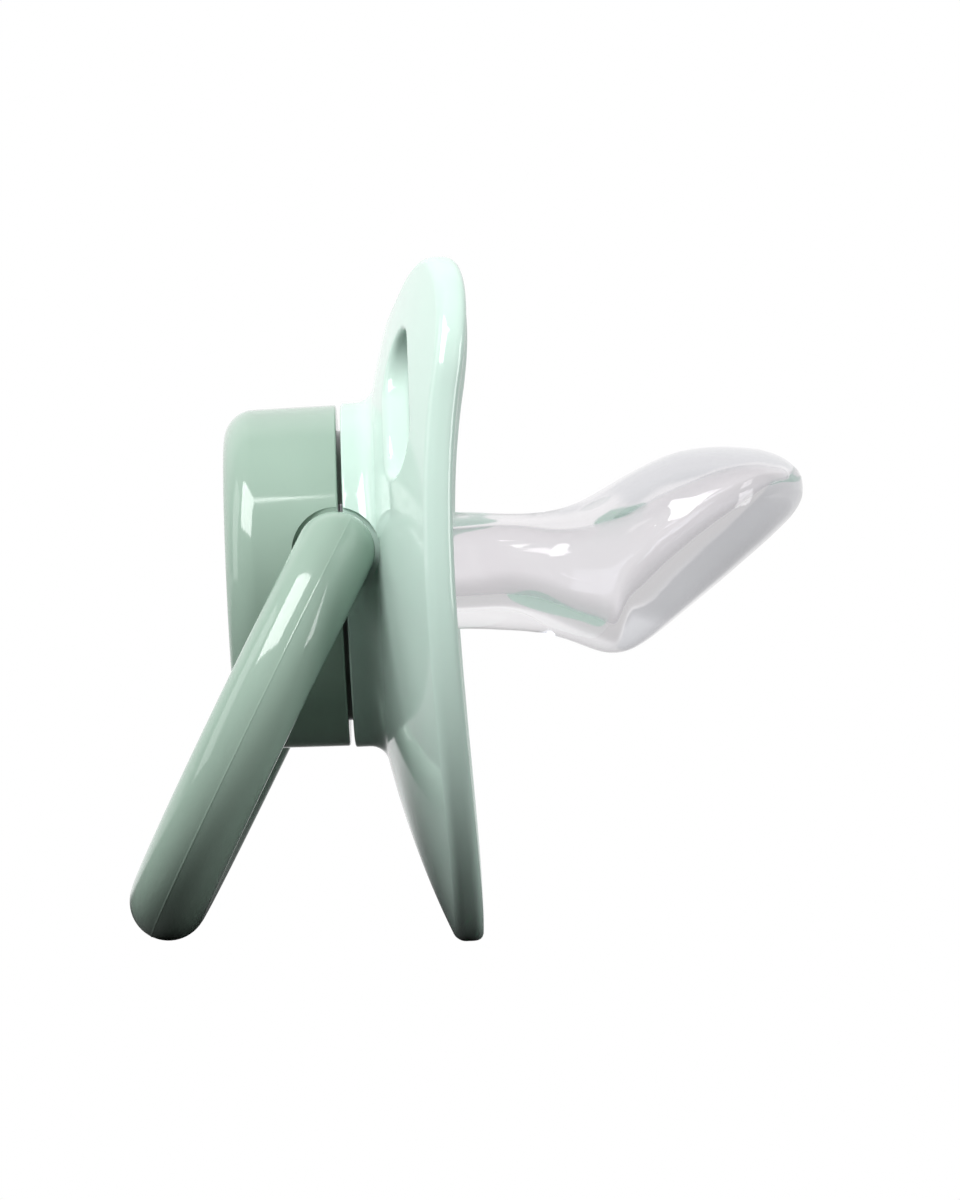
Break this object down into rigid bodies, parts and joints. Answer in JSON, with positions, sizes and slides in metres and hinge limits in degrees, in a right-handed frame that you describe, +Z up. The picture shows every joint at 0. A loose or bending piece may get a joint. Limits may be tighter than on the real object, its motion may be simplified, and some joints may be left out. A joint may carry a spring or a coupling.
{
  "type": "baby pacifier",
  "caption": "Baby pacifier with a domed shield, nose notch and vent slots, a clear hollow orthodontic teat, a round press-on hub cap and a swinging ring handle.",
  "frame": {"origin": "centre of the bounding box in plan, on the ground that the ring's foot and the shield's chin stand on", "axes": "+X from the cap towards the mouth side (the teat), +Y across the shield along the hinge axis of the ring, +Z up through the nose notch; the hub axis leans 2.55 degrees nose-up from +X because the object stands on its ring and chin"},
  "size_m": [0.0434, 0.0444, 0.0435],
  "materials": {
    "mint_plastic": "glossy moulded polypropylene, pale mint",
    "sage_plastic": "glossy moulded polypropylene, sage green",
    "clear_silicone": "clear smooth liquid silicone rubber",
    "inner_plastic": "plain moulded polypropylene, hidden inside the hub"
  },
  "bodies": {
    "body": {"shield": "mint_plastic", "teat": "clear_silicone", "teat_plug": "inner_plastic", "cap": "sage_plastic"},
    "ring": {"ring_handle": "sage_plastic"}
  },
  "joints": [
    {"name": "ring_swing", "type": "hinge", "parent": "body", "child": "ring", "pos_m": [-0.00823, 0, 0.02503], "axis": [0, 1, 0], "range_deg": [-35, 158]}
  ]
}
